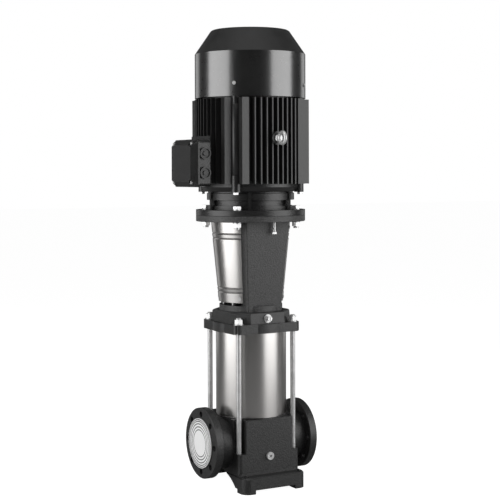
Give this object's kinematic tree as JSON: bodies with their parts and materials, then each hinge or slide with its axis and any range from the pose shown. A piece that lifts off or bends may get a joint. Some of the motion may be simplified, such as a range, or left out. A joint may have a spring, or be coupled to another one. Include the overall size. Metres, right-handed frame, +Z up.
{
  "type": "vertical multistage pump",
  "caption": "Vertical in-line multistage pump: black cast base with two pipe flanges, steel sleeve held by tie rods, coned coupling guards and a finned flange motor.",
  "frame": {"origin": "on the floor, on the shaft's axis, which is the centre of the foot plate", "axes": "+Z up along the shaft; +X from the suction flange to the discharge flange; -Y towards the drain and priming plugs"},
  "size_m": [0.43, 0.405, 1.448],
  "materials": {
    "black_cast": "satin black paint",
    "charcoal_cast": "grainy charcoal paint",
    "motor_paint": "satin black",
    "cowl_paint": "gloss black",
    "stainless": "bright, finely brushed",
    "bright_steel": "zinc plated",
    "dark_steel": "plain steel",
    "bronze": "machined",
    "lamination": "stacked sheet",
    "copper": "varnished wire",
    "rubber": "matte",
    "black_plastic": "moulded",
    "board_plastic": "moulded",
    "white_cover": "thin white sheet"
  },
  "bodies": {
    "pump_body": {"base_casting": "black_cast", "drain_plug": "bright_steel", "suction_port_cover": "white_cover", "outer_sleeve": "stainless", "sleeve_seals": "rubber", "tie_rods": "bright_steel", "tie_rod_washers": "bright_steel", "tie_rod_nuts": "bright_steel", "pump_head": "black_cast", "priming_plug": "bright_steel", "suction_guide": "stainless", "wear_rings": "bronze", "discharge_cup": "stainless", "stack_straps": "stainless", "seal_gland": "stainless", "motor_stool": "charcoal_cast", "stool_screws": "dark_steel", "jacking_screw": "bright_steel", "coupling_guard_left": "stainless", "coupling_guard_right": "stainless", "guard_screws": "bright_steel", "drive_end_shield": "motor_paint", "flange_bolts": "bright_steel", "flange_nuts": "bright_steel", "flange_washers": "bright_steel", "shield_bolts": "bright_steel", "motor_frame": "motor_paint", "lifting_eye": "bright_steel", "stator_core": "lamination", "stator_windings": "copper", "bearing_outer_rings": "bright_steel", "bearing_balls": "bright_steel", "fan_end_shield": "motor_paint", "fan_cover": "cowl_paint", "cowl_brackets": "bright_steel", "cowl_screws": "bright_steel", "terminal_box": "motor_paint", "terminal_gasket": "rubber", "terminal_lid": "motor_paint", "lid_screws": "bright_steel", "terminal_board": "board_plastic", "cable_plugs": "black_plastic", "stage_chamber_1": "stainless", "stage_chamber_2": "stainless", "stage_chamber_3": "stainless"},
    "rotor": {"pump_shaft": "stainless", "impeller_1": "stainless", "impeller_2": "stainless", "impeller_3": "stainless", "impeller_spacers": "stainless", "seal_sleeve": "stainless", "coupling_half_front": "dark_steel", "coupling_half_rear": "dark_steel", "coupling_bolts": "dark_steel", "motor_shaft": "dark_steel", "rotor_core": "lamination", "bearing_inner_rings": "bright_steel", "cooling_fan": "black_plastic"},
    "vent": {"vent_screw": "bright_steel"}
  },
  "joints": [
    {"name": "shaft_spin", "type": "hinge", "parent": "pump_body", "child": "rotor", "pos_m": [0, 0, 0.7], "axis": [0, 0, 1], "continuous": true},
    {"name": "vent_turn", "type": "hinge", "parent": "pump_body", "child": "vent", "pos_m": [0, -0.12, 0.532], "axis": [0, 1, 0], "continuous": true}
  ]
}
